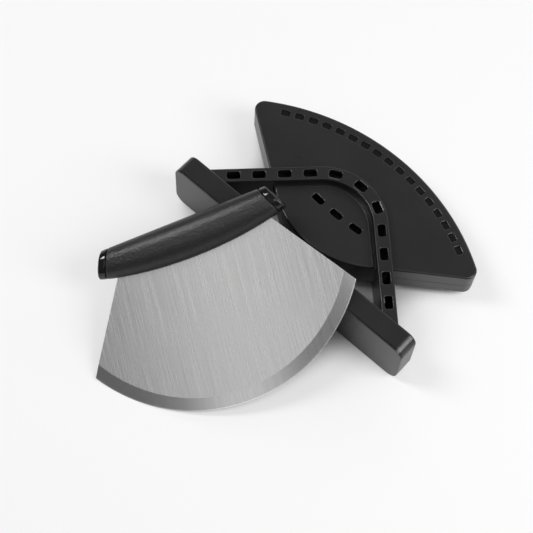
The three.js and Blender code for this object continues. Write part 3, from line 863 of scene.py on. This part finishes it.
def grip_bar(name, profile):
    """A bar along the grip: one rounded section, extruded from station to station and moved,
    turned and resized at each."""
    bpy.ops.object.select_all(action="DESELECT")
    centre, lean, high, thick = grip_section(*profile[0])
    bpy.ops.mesh.primitive_plane_add(size=2, rotation=(0, math.pi / 2, 0))
    made = bpy.context.object
    made.name = name
    bpy.ops.object.transform_apply()
    bpy.ops.object.mode_set(mode="EDIT")
    bpy.ops.mesh.select_all(action="SELECT")
    bpy.ops.mesh.bevel(offset=grip_corner, segments=11, affect="VERTICES", clamp_overlap=False)
    bpy.ops.mesh.select_all(action="SELECT")
    bpy.ops.transform.resize(value=(1, high / math.cos(lean), thick), center_override=(0, 0, 0))
    bpy.ops.transform.rotate(value=-lean, orient_axis="Z", center_override=(0, 0, 0))
    bpy.ops.transform.translate(value=centre)
    for station, inset in profile[1:]:
        old_centre, old_lean, old_high, old_thick = centre, lean, high, thick
        centre, lean, high, thick = grip_section(station, inset)
        bpy.ops.mesh.extrude_region_move(TRANSFORM_OT_translate={"value": centre - old_centre})
        bpy.ops.transform.rotate(value=old_lean - lean, orient_axis="Z", center_override=centre)
        tall = high / old_high * math.cos(old_lean) / math.cos(lean)
        bpy.ops.transform.resize(value=(tall, tall, thick / old_thick), center_override=centre)
    bpy.ops.mesh.select_all(action="SELECT")
    bpy.ops.mesh.normals_make_consistent(inside=False)
    bpy.ops.object.mode_set(mode="OBJECT")
    return made


sleeve_end = 1 - (cap_length + cap_gap) / grip_half_length
lip_part = sleeve_lip / grip_half_length
shoulder = sleeve_end - lip_part
rounded_end = [
    # station, inset from the grip's surface
    (-sleeve_end, sleeve_lip),
    (-sleeve_end + 0.18 * lip_part, 0.42 * sleeve_lip),
    (-sleeve_end + 0.5 * lip_part, 0.13 * sleeve_lip),
]
sleeve_profile = rounded_end + [
    (shoulder * (i / sleeve_steps - 1), 0) for i in range(2 * sleeve_steps + 1)]
sleeve_profile += [(-station, inset) for station, inset in reversed(rounded_end)]
grip_skin = grip_bar("grip_skin", sleeve_profile)
cut(grip_skin, grip_bar("core_room", [
    (room_reach * (i / room_steps - 1), sleeve_thick) for i in range(2 * room_steps + 1)]))
cut(grip_skin, block("slit", (-slit_half_length, slit_low, -slit_half),
                     (slit_half_length, slit_top, slit_half), slit_corner, y_axis))
put(grip_skin, cutter_place, "cutter", skin, "grip_skin", "grip_sleeve")


# End caps: two polished black plugs pressed into the ends of the sleeve, each with a shadow
# groove at the joint, a rounded rim and a dished end.
cap_plug = 4 * mm
cap_round = 1.3 * mm
cap_groove = 0.9 * mm
cap_dish = 1.4 * mm
cap_dish_rim = 1.6 * mm
plug_inset = sleeve_thick + cap_gap

# High-gloss ABS from a polished mould: deep black with mirror-like reflections, and a faint
# waviness about 6 mm long that makes them swim.
polished, tree, shader, place = new_finish("polished_black_abs")
wave = add(tree, "ShaderNodeTexNoise", {
    "Vector": place, "Scale": 1 / (6 * mm), "Detail": 1, "Roughness": 0.4})
swim = add(tree, "ShaderNodeBump", {
    "Height": wave.outputs["Fac"], "Strength": 0.08, "Distance": 0.1 * mm})
smear = add(tree, "ShaderNodeMapRange", {
    "Value": wave.outputs["Fac"],
    "From Min": 0.3, "From Max": 0.7, "To Min": 0.08, "To Max": 0.14})
tree.links.new(swim.outputs["Normal"], shader.inputs["Normal"])
tree.links.new(smear.outputs["Result"], shader.inputs["Roughness"])
shader.inputs["Base Color"].default_value = linear("#0b0b0b")
shader.inputs["IOR"].default_value = 1.53

cap_shape = [
    # distance in from the end, inset from the grip's surface
    (cap_length + cap_plug, plug_inset + cap_groove),
    (cap_length + cap_plug - cap_groove, plug_inset),
    (cap_length, plug_inset),
    (cap_length, cap_groove),
    (cap_length - 0.3 * cap_groove, 0.3 * cap_groove),
    (cap_length - cap_groove, 0),
    (cap_round, 0),
    (0.62 * cap_round, 0.08 * cap_round),
    (0.3 * cap_round, 0.3 * cap_round),
    (0.08 * cap_round, 0.62 * cap_round),
    (0, cap_round),
    (0.1 * cap_dish, cap_round + 0.6 * cap_dish_rim),
    (0.35 * cap_dish, cap_round + cap_dish_rim),
    (0.75 * cap_dish, cap_round + 1.5 * cap_dish_rim),
    (cap_dish, cap_round + 2 * cap_dish_rim),
]
cap_right = grip_bar("cap_right", [(1 - d / grip_half_length, inset) for d, inset in cap_shape])
cap_left = twin(cap_right, "cap_left")
flip(cap_left, (-1, 1, 1))
put(cap_right, cutter_place, "cutter", polished, "cap_gloss", "end_cap_right")
put(cap_left, cutter_place, "cutter", polished, "cap_gloss", "end_cap_left")
